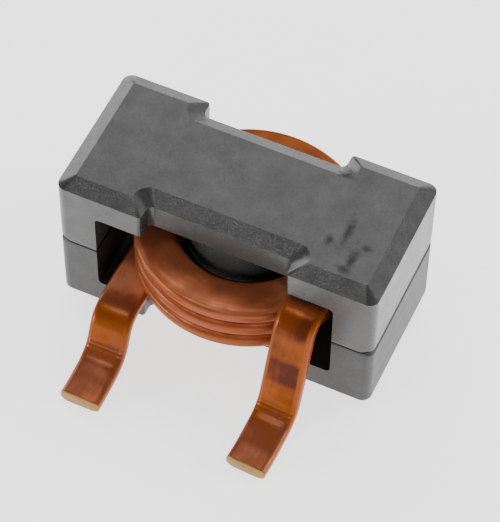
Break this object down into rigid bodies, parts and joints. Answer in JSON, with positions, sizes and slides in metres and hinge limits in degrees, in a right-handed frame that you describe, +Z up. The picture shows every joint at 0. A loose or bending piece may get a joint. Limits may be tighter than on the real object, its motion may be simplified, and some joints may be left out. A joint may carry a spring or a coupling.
{
  "type": "shielded power inductor",
  "caption": "Gapped ferrite core pair around an edge-wound flat copper winding, with two formed leads for soldering to a board.",
  "frame": {"origin": "middle of the core's underside", "axes": "+Z up from the board, +X along the core, both leads leave towards -Y"},
  "size_m": [0.0196, 0.0179, 0.0108],
  "materials": {
    "ferrite": "matt, pressed and sintered",
    "enamelled_copper": "glossy enamel over copper",
    "adhesive": "cured epoxy"
  },
  "bodies": {
    "root": {"core_lower": "ferrite", "core_upper": "ferrite", "bond_left": "adhesive", "bond_right": "adhesive", "winding_bond": "adhesive", "winding": "enamelled_copper"}
  },
  "joints": []
}
